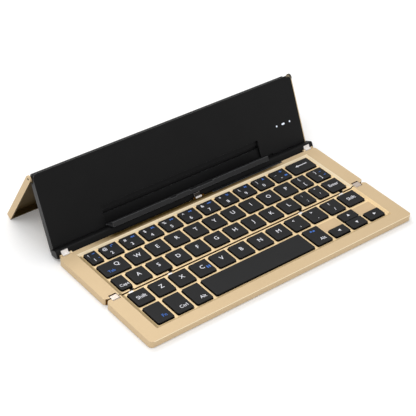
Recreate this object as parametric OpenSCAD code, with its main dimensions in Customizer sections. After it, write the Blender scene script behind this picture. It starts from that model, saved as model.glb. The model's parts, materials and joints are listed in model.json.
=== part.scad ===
// Folding keyboard: two key panels joined by a double-pin fold, a stand panel that leans back
// and carries a phone on a small ledge, and a hollow support flap that props the stand up.
// Millimetres. X runs along the rows of keys, Y to the back, Z up.
// The origin is the centre of the underside of the middle key panel.
// Places on the stand are given as s, up its face from the crease, and n, out of its face.

/* [Key panels] */
// Width of the key panels
panel_w = 243.6; // [242:0.2:250]
// Thickness of a key panel
panel_t = 5.2; // [5.2:0.1:6.4]
// Margin from the number keys to the back edge of the middle panel
back_margin = 7.5; // [7:0.1:10]
// How much shorter the front panel is than the middle one, which leaves room for the spine
spine_room = 5; // [4.8:0.1:5.4]
// Radius of the outer corners
corner_r = 4; // [2:0.5:5]
// Gap between the two key panels at the fold
fold_gap = 0.8; // [0.6:0.1:1]
// Thickness of a bottom cover
base_t = 0.8; // [0.6:0.1:1]
// Height of the rubber feet
foot_t = 0.5; // [0.3:0.1:1]
// Bevel along the edges of a key panel
edge_bevel = 0.35; // [0.3:0.05:0.5]

/* [Key field] */
// Margin from the end of a key panel to the block of keys
side_margin = 15.8; // [15.3:0.1:17.8]
// Space between the tops of neighbouring keys
key_gap = 2.9; // [2.6:0.1:3.1]
// Gap from a key to the edge of its window
key_clear = 0.35; // [0.25:0.05:0.5]
// Depth of the number keys, front to back
number_d = 13; // [12:0.5:13.5]
// Depth of the letter keys behind the fold
letter_d = 14.05; // [13:0.05:14.2]
// Depth of the letter keys in front of the fold
bottom_d = 14.6; // [13:0.1:15]
// Depth of the space bar row
space_d = 18.9; // [17:0.1:19]
// Strip of deck between the fold and the nearest keys
fold_strip = 2.4; // [2.4:0.1:3]
// How far the key field lies below the rim
well_drop = 1.5; // [1:0.1:1.8]
// Width of the slope from the rim down to the key field
slope_w = 1.6; // [1:0.1:2]
// Thickness of the deck between the keys
web_t = 0.8; // [0.6:0.1:1]
// Height of a key top above the deck
key_rise = 1.7; // [1.5:0.1:1.8]
// Travel of a key
key_travel = 1.1; // [0.8:0.05:1.2]
// Corner radius of a key
key_r = 1.3; // [0.8:0.1:2]
// Bevel round the top of a key
key_bevel = 0.35; // [0.2:0.05:0.5]

/* [Fold hinge] */
// Distance between the two pins of a fold link
link_pitch = 3.4; // [3.2:0.1:3.6]
// Depth of the fold pins below the rim
link_drop = 1.2; // [1.1:0.05:1.25]
// Width of a fold link
link_w = 5.6; // [4:0.2:6]
// Distance of each fold link's middle from the end of a key panel
link_inset = 7.8; // [6.8:0.1:8.8]
// Radius of a fold pin
fold_pin_r = 0.6; // [0.4:0.05:0.7]

/* [Stand] */
// Lean of the open stand, measured from the table
stand_angle = 64; // [58:1:70]
// Step at each end from a key panel in to the stand
stand_step = 1.6; // [1.5:0.1:2.8]
// Height of the stand face from the crease
stand_h = 54.6; // [52:0.2:56]
// Thickness of the stand
stand_t = 5; // [4.6:0.1:5.2]
// Thickness of the stand's face
face_t = 1.4; // [1.2:0.1:1.6]
// Height of the stand hinge axis below the rim
hinge_drop = 0.2; // [0:0.1:0.5]
// Width of a stand hinge leaf
leaf_w = 5.6; // [4:0.2:6]

/* [Phone ledge] */
// Length of the phone ledge
ledge_w = 147.4; // [120:0.2:150]
// Depth of the ledge in front of the stand face
ledge_d = 9.5; // [9:0.1:9.6]
// Height of the lip above the underside of the ledge
lip_h = 3.7; // [3:0.1:3.7]
// Height of the pocket that the ledge folds into
pocket_h = 15; // [13.5:0.1:16]

/* [Support flap] */
// Length of the flap from its pin to its free end
flap_len = 58.9; // [58:0.1:59.2]
// Thickness of the flap at its rim
flap_t = 5.2; // [5:0.1:5.4]
// Wall of the flap
flap_wall = 1.4; // [1:0.1:1.4]
// Radius of the flap pin
flap_pin_r = 0.9; // [0.6:0.1:1.2]

/* [Hidden] */
$fn = 48;
run_fit = 0.05;
seat_gap = 0.15;
side_gap = 0.3;
eps = 0.02;

// Levels of a key panel, from its underside
rim_z = panel_t;
web_top = rim_z - well_drop;
web_low = web_top - web_t;
plate_t = 0.2;
sheet_t = 0.2;
sheet_top = base_t + plate_t + sheet_t;
wall_t = 1.2;

// Edges of the two key panels: the rows of keys set how deep they are
middle_d = fold_strip - fold_gap / 4 + 2 * (letter_d + key_gap) + number_d + back_margin;
front_d = middle_d - spine_room;
middle_y0 = -middle_d / 2;
middle_y1 = middle_d / 2;
fold_y = middle_y0 - fold_gap / 2;
front_y1 = fold_y - fold_gap / 2;
front_y0 = front_y1 - front_d;

// Key sizes and rows
key_wall = 1.1;
key_roof = 1.1;
flange_w = 0.7;
flange_t = 0.5;
flange_top = web_low - run_fit;
key_top = web_top + key_rise;
home_y0 = middle_y0 + fold_strip - fold_gap / 4;
top_y0 = home_y0 + letter_d + key_gap;
number_y0 = top_y0 + letter_d + key_gap;
bottom_y0 = front_y1 - fold_strip - bottom_d - fold_gap / 4;
space_y0 = bottom_y0 - key_gap - space_d;
arrow_gap = 0.4;
arrow_d = (space_d - arrow_gap) / 2;

field_w = panel_w - 2 * side_margin;
one_w = 9.7;
back_w = 22.4;
q_w = 21.2;
bracket_w = [12.9, 15.05];
caps_w = 9.6;
quote_w = [12, 10.4];
enter_w = 14.7;
shift_w = [14.2, 16.4];
modifier_w = 13.8;
alt_w = 14.7;
arrow_w = 14.8;
space_left = [for (i = [0:2]) modifier_w];
space_right = [alt_w, for (i = [0:2]) arrow_w];

function total(v, n) = n <= 0 ? 0 : v[n - 1] + total(v, n - 1);
function sum(v) = total(v, len(v));
// A row whose n middle keys share the width that its first and last keys leave
function shared(first, n, last) = let (
    gaps = (len(first) + n + len(last) - 1) * key_gap,
    each_w = (field_w - sum(first) - sum(last) - gaps) / n
) concat(first, [for (i = [1:n]) each_w], last);
number_keys = shared([one_w], 10, [back_w]);
top_keys = shared([q_w], 9, bracket_w);
home_keys = shared([caps_w], 9, concat(quote_w, [enter_w]));
bottom_keys = shared([shift_w[0]], 10, [shift_w[1]]);
function key_mid(v, i) = -field_w / 2 + total(v, i) + i * key_gap + v[i] / 2;
// A row of keys as [node, x, y, width, depth, 0] in order from the left
function row(names, v, y0, d) =
    [for (i = [0:len(v) - 1]) [names[i], key_mid(v, i), y0 + d / 2, v[i], d, 0]];
function letters(word) = [for (c = word) str("key_", c)];
function repeated(name, n) = [for (i = [1:n]) name];

number_row = row(repeated("number_row_keys", 12), number_keys, number_y0, number_d);
top_row = row(
    concat(letters("qwertyuiop"), repeated("middle_side_keys", 2)),
    top_keys, top_y0, letter_d);
home_row = row(
    concat(["middle_side_keys"], letters("asdfghjkl"), repeated("middle_side_keys", 3)),
    home_keys, home_y0, letter_d);
bottom_row = row(
    concat(["front_side_keys"], letters("zxcvbnm"), repeated("front_side_keys", 4)),
    bottom_keys, bottom_y0, bottom_d);
space_row_w = shared(space_left, 1, space_right);
space_full = row(
    concat(repeated("front_side_keys", 3), ["space_bar", "front_side_keys"],
        repeated("arrow_keys", 3)),
    space_row_w, space_y0, space_d);
// Half-height arrow keys: the last value is 1 for a flange on the left and right only
function arrow(i, up) = [
    "arrow_keys", space_full[i][1], space_y0 + arrow_d / 2 + up * (arrow_d + arrow_gap),
    space_full[i][3], arrow_d, 1
];
arrow_row = [arrow(5, 0), arrow(6, 0), arrow(6, 1), arrow(7, 0)];
middle_keys = concat(number_row, top_row, home_row);
front_keys = concat(bottom_row, [for (i = [0:4]) space_full[i]], arrow_row);
all_keys = concat(middle_keys, front_keys);
letter_nodes = letters("qwertyuiopasdfghjklzxcvbnm");
key_nodes = concat(letter_nodes, ["space_bar", "number_row_keys", "middle_side_keys",
    "front_side_keys", "arrow_keys"]);

// Key well and the pocket under it
field_margin = 1.9;
well_x = field_w / 2 + field_margin + slope_w;
well_back = number_y0 + number_d + 1.4 + slope_w;
well_front = space_y0 - 1.4 - slope_w;
pocket_x = field_w / 2 + field_margin;
pocket_back = number_y0 + number_d + 2;
pocket_front = space_y0 - 1.5;
rebate = 3.6;

// Fold hinge
fold_rise = link_pitch - 2 * link_drop;
fold_axis_z = rim_z - link_drop;
middle_axis_y = fold_y + link_pitch / 2;
front_axis_y = fold_y - link_pitch / 2;
link_r = link_drop;
ear_pin = 1.4;
notch_h = link_drop + link_r + side_gap;
link_x = panel_w / 2 - link_inset;
// Tabs as [home row key, distance of the tab from the right edge of that key]
tab_places = [[0, 4.5], [2, 5.7], [9, 5.3], [12, 9.4]];
tab_x = [for (t = tab_places) key_mid(home_keys, t[0]) + home_keys[t[0]] / 2 - t[1]];
tab_w = 3.4;
tab_d = 2.1;

// Stand hinge and the place of the crease, from the closed stack
hinge_out = 0.4;
hinge_y = middle_y1 + hinge_out;
hinge_z = rim_z - hinge_drop;
leaf_r = 1;
lug_w = 1.8;
lug_r = 1;
stand_pin_r = 0.5;
stand_w = panel_w - 2 * stand_step;
leaf_inset = 5.2;
middle_leaf_x = 4;
leaf_end = stand_w / 2 - leaf_inset;
leaf_x = [-leaf_end, middle_leaf_x, leaf_end];
leaf_reach = 3.4;
tuck_gap = 0.9;
stack_gap = 0.25;
spine_top = 1.3;
closed_y = middle_y0 + front_d + tuck_gap - spine_top;
closed_z = rim_z + fold_rise + panel_t + foot_t + stack_gap;
hinge_s = closed_y - hinge_y;
hinge_n = closed_z - hinge_z;
crease_y = hinge_y - hinge_s * cos(stand_angle) + hinge_n * sin(stand_angle);
crease_z = hinge_z - hinge_s * sin(stand_angle) - hinge_n * cos(stand_angle);

// Spine
spine_n = hinge_n - leaf_r - 0.2;
spine_low = hinge_s - 1.95;
nose_r = 1.7;
chin_r = 1.2;
spine_back_s = -3.7;
spine_split = -1.3;
spine_end_r = 1.5;

// Stand tray
side_t = 1.4;
lip_t = 0.8;
tray_x1 = stand_w / 2 - lip_t;
back_t = 0.6;
back_n = -stand_t + back_t;
barrel_r = 2.7;
pivot_s = stand_h - 2.6;
pivot_n = -flap_t / 2 - 1.7;
tray_top = pivot_s - 3.6;
barrel_left = 1.8;
barrel_right = 5.8;
barrel_x0 = barrel_left - stand_w / 2;
barrel_x1 = stand_w / 2 - barrel_right;

// Phone ledge and its pocket
ledge_pin_r = 0.4;
ledge_s = -0.1;
ledge_n = -0.9;
shelf_t = 1.4;
ledge_barrel_r = 0.8;
ledge_under = ledge_s - shelf_t / 2;
lip_top = ledge_under + lip_h;
ledge_reach = ledge_d - ledge_n;
pocket_w = ledge_w + 1;
pocket_n = -2;
pocket_floor = 0.6;
channel_n = back_n + 0.25;
channel_s0 = ledge_s + ledge_reach - 2;
channel_s1 = ledge_s + sqrt(ledge_reach * ledge_reach + lip_h * lip_h) + 0.3;

// Support flap: its rest angle puts the lower corner of its free end on the table
pivot_y = crease_y + pivot_s * cos(stand_angle) - pivot_n * sin(stand_angle);
pivot_z = crease_z + pivot_s * sin(stand_angle) + pivot_n * cos(stand_angle);
flap_half = flap_t / 2;
flap_angle =
    asin((pivot_z + foot_t) / sqrt(flap_len * flap_len + flap_half * flap_half))
    - atan(flap_half / flap_len);
flap_x = stand_w / 2 + side_gap + flap_wall;

// ---- Helpers ----

// Rectangle with round corners, centred
module round_rect(w, d, r) {
    square([w - 2 * r, d], center = true);
    square([w, d - 2 * r], center = true);
    for (x = [-1, 1], y = [-1, 1])
        translate([x * (w / 2 - r), y * (d / 2 - r)]) circle(r = r);
}

// Block with round corners from z0 to z1
module round_block(w, d, r, z0, z1) {
    translate([0, 0, z0]) linear_extrude(z1 - z0) round_rect(w, d, r);
}

// Points of a bevelled edge at height z, cut back by b, facing up (1) or down (-1)
function edge_points(half, z, b, up) =
    b > 0 ? [[half + 1, z - up * (b + 1)], [half - b - 1, z + up]] : [[half + 1, z + up]];
function reversed(v) = [for (i = [len(v) - 1:-1:0]) v[i]];
function mirrored(v) = [for (p = reversed(v)) [-p[0], p[1]]];

// Outline that bevels a block of width w: its upper edges by top, its lower ones by low
module bevel_outline(w, z0, z1, top, low) {
    side = concat(reversed(edge_points(w / 2, z0, low, -1)), edge_points(w / 2, z1, top, 1));
    polygon(concat(side, mirrored(side)));
}

// Block with round corners and bevelled edges
module bevel_block(w, d, r, z0, z1, top, low = 0) {
    intersection() {
        round_block(w, d, r, z0, z1);
        bar(-w, w) bevel_outline(d, z0, z1, top, low);
        rotate([0, 0, 90]) bar(-d, d) bevel_outline(w, z0, z1, top, low);
    }
}

// Plain block between two corners
module span(a, b) {
    translate(a) cube(b - a);
}

// Bar along X whose outline is drawn in Y and Z
module bar(x0, x1) {
    translate([x0, 0, 0]) rotate([90, 0, 90]) linear_extrude(x1 - x0) children();
}

// Round rod along X
module rod(x0, x1, y, z, r) {
    translate([x0, y, z]) rotate([0, 90, 0]) cylinder(r = r, h = x1 - x0);
}

// Moves its children from the stand's own frame (X, s, n) to the open stand
module on_stand() {
    translate([0, crease_y, crease_z]) rotate([stand_angle, 0, 0]) children();
}

// Moves its children from the flap's own frame, with Y from the pin to the free end
module on_flap() {
    translate([0, pivot_y, pivot_z]) rotate([-flap_angle, 0, 0]) children();
}

// ---- Key panels ----

// Well with slopes on both sides and at one end; dir is 1 when that end is at the back
module well(y_open, y_end, dir) {
    deep = web_top;
    high = rim_z + 1;
    rise = high - deep;
    spread = slope_w * rise / well_drop;
    y_far = y_open - dir * 2;
    intersection() {
        translate([0, max(y_open, y_end) + 4, 0]) rotate([90, 0, 0])
            linear_extrude(abs(y_end - y_open) + 8)
                polygon([
                    [-(well_x - slope_w), deep], [well_x - slope_w, deep],
                    [well_x - slope_w + spread, high], [-(well_x - slope_w + spread), high]
                ]);
        bar(-panel_w / 2, panel_w / 2)
            polygon([
                [y_far, deep], [y_end - dir * slope_w, deep],
                [y_end - dir * slope_w + dir * spread, high], [y_far, high]
            ]);
    }
}

// Bevel on the deck's edge at the fold; dir is 1 for the middle panel
module fold_bevel(y, dir) {
    bar(slope_w - well_x, well_x - slope_w)
        polygon([
            [y + dir * (edge_bevel + 1), web_top + 1], [y - dir, web_top + 1],
            [y - dir, web_top - edge_bevel - 1]
        ]);
}

// Windows for a list of keys, one for both halves of a split key
module windows(keys) {
    for (k = keys) {
        half = k[5] * (arrow_gap / 2 + eps);
        translate([k[1], k[2], 0])
            round_block(k[3] + 2 * key_clear, k[4] + 2 * (key_clear + half), key_r + 0.2,
                web_low - 1, rim_z);
    }
}

// Panel body with its pocket from below and the rebate for the bottom cover
module panel_body(y0, y1, pocket_y0, pocket_y1, plate_y0, plate_y1) {
    difference() {
        translate([0, (y0 + y1) / 2, 0])
            bevel_block(panel_w, y1 - y0, corner_r, 0, panel_t, edge_bevel, edge_bevel);
        span([-pocket_x, pocket_y0, -1], [pocket_x, pocket_y1, web_low]);
        span([-pocket_x - rebate, plate_y0, -1], [pocket_x + rebate, plate_y1, base_t]);
    }
}

// Notches and pin bores for the fold links; dir is 1 for the middle panel
module link_seats(axis_y, edge_y, dir) {
    deep = axis_y + dir * (link_r + side_gap);
    for (side = [-1, 1]) {
        x = side * link_x;
        half = link_w / 2 + side_gap;
        span([x - half, min(deep, edge_y - dir), rim_z - notch_h],
             [x + half, max(deep, edge_y - dir), rim_z + 1]);
        rod(x - half - ear_pin - 0.1, x + half + ear_pin + 0.1, axis_y, fold_axis_z,
            fold_pin_r + run_fit);
    }
}

// Screw places along the rim of a bottom cover
function screw_places(y0, y1) =
    [for (x = [-1, 1], y = [y0 + 6, y1 - 6]) [x * (pocket_x + rebate / 2), y]];
middle_plate = [middle_y0 + wall_t, pocket_back + rebate];
front_plate = [pocket_front - rebate, front_y1 - wall_t];
screw_r = 0.6;
head_r = 1.1;
head_t = 0.5;

module screw_holes(places) {
    for (p = places) translate([p[0], p[1], -1]) cylinder(r = screw_r, h = 4);
}

module middle_top_cover() {
    color([0.88, 0.78, 0.62]) difference() {
        union() {
            panel_body(middle_y0, middle_y1, middle_plate[0], pocket_back,
                middle_plate[0], middle_plate[1]);
            for (x = leaf_x, side = [-1, 1]) lug(x + side * (leaf_w / 2 + side_gap + lug_w / 2));
        }
        well(middle_y0, well_back, 1);
        fold_bevel(middle_y0, 1);
        windows(middle_keys);
        link_seats(middle_axis_y, middle_y0, 1);
        for (x = leaf_x) {
            half = leaf_w / 2 + side_gap;
            span([x - half, hinge_y - leaf_r - 0.4, hinge_z - leaf_r - 0.6],
                 [x + half, hinge_y + 3, rim_z + 2]);
            rod(x - half - lug_w, x + half + lug_w, hinge_y, hinge_z, stand_pin_r);
        }
        cable_cover_seat();
        for (x = tab_x) span([x + 0.8, middle_y0 - 1, web_low - 1],
                             [x + 4, home_y0 + 0.1, rim_z]);
        screw_holes(screw_places(middle_plate[0], middle_plate[1]));
    }
}

// Ear on the back edge of the middle panel that holds a stand hinge pin
module lug(x) {
    rod(x - lug_w / 2, x + lug_w / 2, hinge_y, hinge_z, lug_r);
    span([x - lug_w / 2, middle_y1 - 1, hinge_z - lug_r],
         [x + lug_w / 2, hinge_y, hinge_z + lug_r * 0.2]);
}

cable_step = 13;
cable_x0 = middle_leaf_x + cable_step;
cable_inset = 34.2;
cable_x1 = stand_w / 2 - cable_inset;
cable_slot_in = 12;
cable_d = 1.8;

module cable_cover_seat() {
    span([cable_x0, middle_y1 - cable_d, base_t], [cable_x1, middle_y1 + 1, rim_z + 1]);
}

// Insert in the back edge that guides the flat cable across the hinge
module cable_cover() {
    color([0.13, 0.13, 0.14]) difference() {
        span([cable_x0, middle_y1 - cable_d, base_t], [cable_x1, middle_y1 + 0.2, rim_z + 0.3]);
        span([cable_x0 + cable_slot_in, middle_y1 - cable_d - 1, base_t + 1.2],
             [cable_x1 - cable_slot_in, middle_y1 + 1, base_t + 1.8]);
    }
}

module front_top_cover() {
    color([0.88, 0.78, 0.62]) difference() {
        panel_body(front_y0, front_y1, pocket_front, front_plate[1],
            front_plate[0], front_plate[1]);
        well(front_y1, well_front, -1);
        fold_bevel(front_y1, -1);
        windows(front_keys);
        link_seats(front_axis_y, front_y1, -1);
        for (x = tab_x) tab_shape(x, web_low, rim_z, 1);
        screw_holes(screw_places(front_plate[0], front_plate[1]));
    }
}

module tab_shape(x, z0, z1, over) {
    span([x - tab_w / 2, front_y1 - tab_d, z0], [x + tab_w / 2, front_y1 + over, z1]);
}

// Small tabs in the edge of the front panel that line the two panels up
module fold_tabs() {
    color([0.85, 0.84, 0.83]) for (x = tab_x) tab_shape(x, web_low, web_top + 0.2, -eps);
}

module bottom_cover(plate, places) {
    w = 2 * (pocket_x + rebate - seat_gap);
    difference() {
        translate([0, (plate[0] + plate[1]) / 2, 0])
            round_block(w, plate[1] - plate[0] - 2 * seat_gap, 1, 0, base_t);
        for (p = places) translate([p[0], p[1], 0]) {
            translate([0, 0, -1]) cylinder(r = screw_r, h = base_t + 2);
            translate([0, 0, -1]) cylinder(r = head_r, h = 1 + head_t);
        }
    }
}

module middle_bottom_cover() {
    color([0.86, 0.76, 0.60])
        bottom_cover(middle_plate, screw_places(middle_plate[0], middle_plate[1]));
}

module front_bottom_cover() {
    color([0.86, 0.76, 0.60])
        bottom_cover(front_plate, screw_places(front_plate[0], front_plate[1]));
}

module screws(places) {
    for (p = places) translate([p[0], p[1], 0]) {
        cylinder(r = screw_r, h = 2.8);
        cylinder(r = head_r, h = head_t);
    }
}

module middle_screws() {
    color([0.7, 0.7, 0.72]) screws(screw_places(middle_plate[0], middle_plate[1]));
}

module front_screws() {
    color([0.7, 0.7, 0.72]) screws(screw_places(front_plate[0], front_plate[1]));
}

// Steel plate under the keys
module key_plate(y0, y1) {
    span([-pocket_x + seat_gap, y0 + seat_gap, base_t],
         [pocket_x - seat_gap, y1 - seat_gap, base_t + plate_t]);
}

// Silicone sheet with one dome in the hollow of every key
module dome_sheet(keys, y0, y1) {
    dome_h = 1.9;
    span([-pocket_x + seat_gap, y0 + seat_gap, base_t + plate_t],
         [pocket_x - seat_gap, y1 - seat_gap, sheet_top]);
    for (k = keys) translate([k[1], k[2], sheet_top - eps])
        cylinder(r1 = 2.4, r2 = 1.3, h = dome_h + eps);
}

module middle_key_plate() {
    color([0.6, 0.62, 0.65]) key_plate(middle_plate[0], pocket_back);
}

module middle_dome_sheet() {
    color([0.75, 0.78, 0.82]) dome_sheet(middle_keys, middle_plate[0], pocket_back);
}

module front_key_plate() {
    color([0.6, 0.62, 0.65]) key_plate(pocket_front, front_plate[1]);
}

module front_dome_sheet() {
    color([0.75, 0.78, 0.82]) dome_sheet(front_keys, pocket_front, front_plate[1]);
}

foot_w = 4;
foot_l = 24;
foot_x = (pocket_x + rebate + panel_w / 2) / 2;

// Rubber strips under the side margins, clear of the bottom cover
module feet(y0, y1) {
    for (side = [-1, 1]) translate([side * foot_x, (y0 + y1) / 2, 0])
        round_block(foot_w, foot_l, foot_w / 2 - 0.1, -foot_t, 0);
}

module middle_feet() {
    color([0.1, 0.1, 0.1]) feet(middle_y0, middle_y1);
}

module front_feet() {
    color([0.1, 0.1, 0.1]) feet(front_y0, front_y1);
}

// ---- Keys ----

// Hollow key cap with the flange that holds it under the deck
module key_cap(w, d, split) {
    flange_y = split ? 0 : flange_w;
    difference() {
        union() {
            bevel_block(w, d, key_r, flange_top - flange_t, key_top, key_bevel);
            translate([0, 0, flange_top - flange_t])
                linear_extrude(flange_t)
                    square([w + 2 * flange_w, d + 2 * flange_y - (split ? 0.2 : 0)],
                        center = true);
        }
        span([-w / 2 + key_wall, -d / 2 + key_wall, 0],
             [w / 2 - key_wall, d / 2 - key_wall, key_top - key_roof]);
    }
}

module keys_named(name) {
    color([0.16, 0.16, 0.17])
        for (k = all_keys) if (k[0] == name) translate([k[1], k[2], 0])
            key_cap(k[3], k[4], k[5] == 1);
}

// ---- Fold hinge ----

// Outline of a fold link: two round ends joined by a flat plate
module link_outline(y_a, y_b, z, r) {
    translate([y_a, z]) circle(r = r);
    translate([y_b, z]) circle(r = r);
    translate([min(y_a, y_b), z - r]) square([abs(y_b - y_a), 2 * r]);
}

module fold_links() {
    color([0.86, 0.84, 0.83]) for (side = [-1, 1]) difference() {
        bar(side * link_x - link_w / 2, side * link_x + link_w / 2)
            link_outline(front_axis_y, middle_axis_y, fold_axis_z, link_r);
        for (y = [front_axis_y, middle_axis_y])
            rod(side * link_x - link_w, side * link_x + link_w, y, fold_axis_z, fold_pin_r);
    }
}

module fold_pins() {
    reach = link_w / 2 + side_gap + ear_pin;
    color([0.7, 0.7, 0.72]) for (side = [-1, 1], y = [front_axis_y, middle_axis_y])
        rod(side * link_x - reach, side * link_x + reach, y, fold_axis_z, fold_pin_r);
}

// ---- Stand, spine and hinge ----

module spine_outline() {
    polygon([
        [-spine_top, -stand_t], [-spine_top, spine_n - nose_r],
        [-spine_top - nose_r, spine_n - nose_r], [-spine_top - nose_r, spine_n],
        [spine_low + chin_r, spine_n], [spine_low + chin_r, spine_n - chin_r],
        [spine_low, spine_n - chin_r], [spine_back_s, -stand_t]
    ]);
    translate([-spine_top - nose_r, spine_n - nose_r]) circle(r = nose_r);
    translate([spine_low + chin_r, spine_n - chin_r]) circle(r = chin_r);
}

module leaf_outline() {
    translate([hinge_s, hinge_n]) circle(r = leaf_r);
    translate([hinge_s - leaf_r, spine_n - 0.7]) square([2 * leaf_r, hinge_n - spine_n + 0.7]);
    translate([hinge_s - leaf_r, spine_n - 0.7]) square([leaf_r + leaf_reach, 1.2]);
}

// The bar before its ends are rounded: its upper part is as wide as the key panels
module spine_bar() {
    bar(-stand_w / 2, stand_w / 2) spine_outline();
    for (side = [-1, 1]) intersection() {
        bar(side > 0 ? stand_w / 2 - 1 : -panel_w / 2, side > 0 ? panel_w / 2 : 1 - stand_w / 2)
            spine_outline();
        span([-panel_w / 2, spine_low - 1, spine_split], [panel_w / 2, 0, spine_n + 1]);
    }
}

// Bar at the foot of the stand that closes the back of the folded stack
module spine() {
    color([0.14, 0.14, 0.15]) on_stand() difference() {
        intersection() {
            spine_bar();
            translate([0, (spine_low + stand_h) / 2, 0])
                round_block(panel_w, stand_h - spine_low, spine_end_r, -stand_t - 1, spine_n + 1);
        }
        for (x = leaf_x) {
            span([x - leaf_w / 2, hinge_s - leaf_r, spine_n - 0.7],
                 [x + leaf_w / 2, hinge_s + leaf_reach, spine_n + 3]);
            for (side = [-1, 1])
                rod(x + side * (leaf_w / 2 + side_gap + lug_w / 2) - lug_w / 2 - side_gap,
                    x + side * (leaf_w / 2 + side_gap + lug_w / 2) + lug_w / 2 + side_gap,
                    hinge_s, hinge_n, lug_r + 0.4);
        }
    }
}

module stand_hinge_leaves() {
    color([0.9, 0.89, 0.88]) on_stand() for (x = leaf_x) difference() {
        bar(x - leaf_w / 2, x + leaf_w / 2) leaf_outline();
        rod(x - leaf_w, x + leaf_w, hinge_s, hinge_n, stand_pin_r + run_fit);
    }
}

module stand_hinge_pins() {
    reach = leaf_w / 2 + side_gap + lug_w;
    color([0.7, 0.7, 0.72]) for (x = leaf_x)
        rod(x - reach, x + reach, hinge_y, hinge_z, stand_pin_r);
}

// Status lights as [distance from the right end of the stand, extra width]
lights = [[24.8, 0], [18.1, 1.6], [11.3, 0]];
light_r = 0.7;
part_gap = 0.8;
board_w = 80;
board_x1 = stand_w / 2 - 10.2;
board_x0 = board_x1 - board_w;
board_s0 = pocket_h + wall_t + part_gap;
board_s1 = tray_top - wall_t - 2 * part_gap - 0.6;
board_n = -3.4;
board_t = 0.6;
chip_h = 0.8;
// Chips as [x, s, width, depth] from the board's lower left corner
chips = [[28, 9, 10, 10], [46, 10, 8, 6]];
post_r = 1.5;
post_left = 4;
post_right = 6;
light_s = board_s0 + 2.4;
post_s0 = light_s + light_r + post_r + part_gap;
battery_w = 96;
battery_x0 = 20.2 - stand_w / 2;
battery_s0 = pocket_h + wall_t + 1.3;
battery_s1 = tray_top - wall_t - 2.7;
groove_w = 0.5;
groove_t = 0.7;
slot_x = pocket_w / 2 + 11.8;
slot_s = 0.7;
slot_t = 1.1;
socket_s = (board_s0 + board_s1) / 2 + 1;
socket_w = 8;
socket_n0 = -4.1;
socket_n1 = -1.5;

// Small bar with round ends for each status light
module light_shapes(n0, n1) {
    for (l = lights) translate([stand_w / 2 - l[0], light_s, 0])
        round_block(2 * light_r + l[1], 2 * light_r, light_r * 0.95, n0, n1);
}

// Face tray: face with the ledge pocket, side walls and the barrel for the flap pin
module stand_tray() {
    half = stand_w / 2;
    color([0.14, 0.14, 0.15]) on_stand() difference() {
        union() {
            translate([0, (stand_h - spine_top) / 2, 0])
                round_block(stand_w, stand_h + spine_top, corner_r, -face_t, 0);
            span([-half, -spine_top, -face_t], [half, corner_r, 0]);
            span([-half, -spine_top, -stand_t], [-half + side_t, tray_top, -face_t / 2]);
            span([tray_x1 - side_t, -spine_top, back_n], [tray_x1, tray_top, -face_t / 2]);
            span([-half, tray_top - wall_t, -stand_t], [tray_x1 - side_t, tray_top, -face_t / 2]);
            span([-half, -spine_top, -stand_t], [tray_x1 - side_t, 0.2, pocket_n - 0.2]);
            span([-pocket_w / 2 - wall_t, -spine_top, pocket_n - pocket_floor],
                 [pocket_w / 2 + wall_t, pocket_h + wall_t, -face_t / 2]);
            span([-pocket_w / 2 - wall_t, channel_s0 - wall_t / 2, back_n],
                 [pocket_w / 2 + wall_t, channel_s1 + wall_t / 2, -face_t / 2]);
            bar(barrel_x0, barrel_x1) {
                translate([pivot_s, pivot_n]) circle(r = barrel_r);
                translate([pivot_s - 2.2, pivot_n]) square([4.4, -pivot_n - face_t / 2]);
            }
            for (x = [board_x0 + post_left, board_x1 - post_right],
                s = [post_s0, board_s1 - post_left])
                translate([x, s, board_n]) cylinder(r = post_r, h = -board_n - face_t / 2);
        }
        span([-pocket_w / 2, -spine_top - 1, pocket_n], [pocket_w / 2, pocket_h, 1]);
        span([-pocket_w / 2, channel_s0, channel_n], [pocket_w / 2, channel_s1, 1]);
        rod(barrel_x0 - 1, barrel_x1 + 1, pivot_s, pivot_n, flap_pin_r + run_fit);
        rod(-pocket_w / 2 - wall_t, pocket_w / 2 + wall_t, ledge_s, ledge_n, ledge_pin_r);
        span([-half - 1, -spine_top - 1, -groove_t], [half + 1, groove_w - spine_top, 1]);
        span([pocket_w / 2 - 1, -spine_top - 1, -slot_t], [slot_x, slot_s, 1]);
        light_shapes(-face_t - 1, 1);
        span([tray_x1 - side_t - 1, socket_s - socket_w / 2, socket_n0],
             [half + 1, socket_s + socket_w / 2, socket_n1]);
        span([tray_x1, -spine_top - 1, -stand_t - 1], [half + 1, tray_top, 1]);
        stand_lip(-face_t - 1, 1);
    }
}

// Thin edge along the right side of the face and round its upper corner
module stand_lip(n0, n1) {
    intersection() {
        difference() {
            translate([0, (stand_h - spine_top) / 2, 0])
                round_block(stand_w, stand_h + spine_top, corner_r, n0, n1);
            translate([0, (stand_h - spine_top - lip_t) / 2 - eps / 2, 0])
                round_block(2 * tray_x1 + 2 * eps, stand_h + spine_top - lip_t + eps,
                    corner_r - lip_t + eps, n0 - 1, n1 + 1);
        }
        span([tray_x1 - corner_r, corner_r, n0 - 1], [stand_w / 2 + 1, stand_h + 1, n1 + 1]);
    }
    span([tray_x1 + eps, -spine_top, n0], [stand_w / 2, corner_r + eps, n1]);
}

// Metal back of the stand with the thin edge that shows along its right side
module stand_back_plate() {
    color([0.86, 0.76, 0.60]) on_stand() difference() {
        union() {
            span([-stand_w / 2 + side_t + seat_gap, 0.2 + seat_gap, -stand_t],
                 [tray_x1, tray_top - wall_t - seat_gap, back_n - eps]);
            span([tray_x1 + eps, -spine_top, -stand_t], [stand_w / 2, tray_top - 0.2, 0]);
            stand_lip(-face_t, 0.05);
            span([tray_x1 - 1, 0.2 + seat_gap, -stand_t],
                 [tray_x1 + 0.2, tray_top - wall_t - seat_gap, back_n - eps]);
        }
        span([tray_x1 - 1, socket_s - socket_w / 2, socket_n0],
             [stand_w / 2 + 1, socket_s + socket_w / 2, socket_n1]);
    }
}

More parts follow.
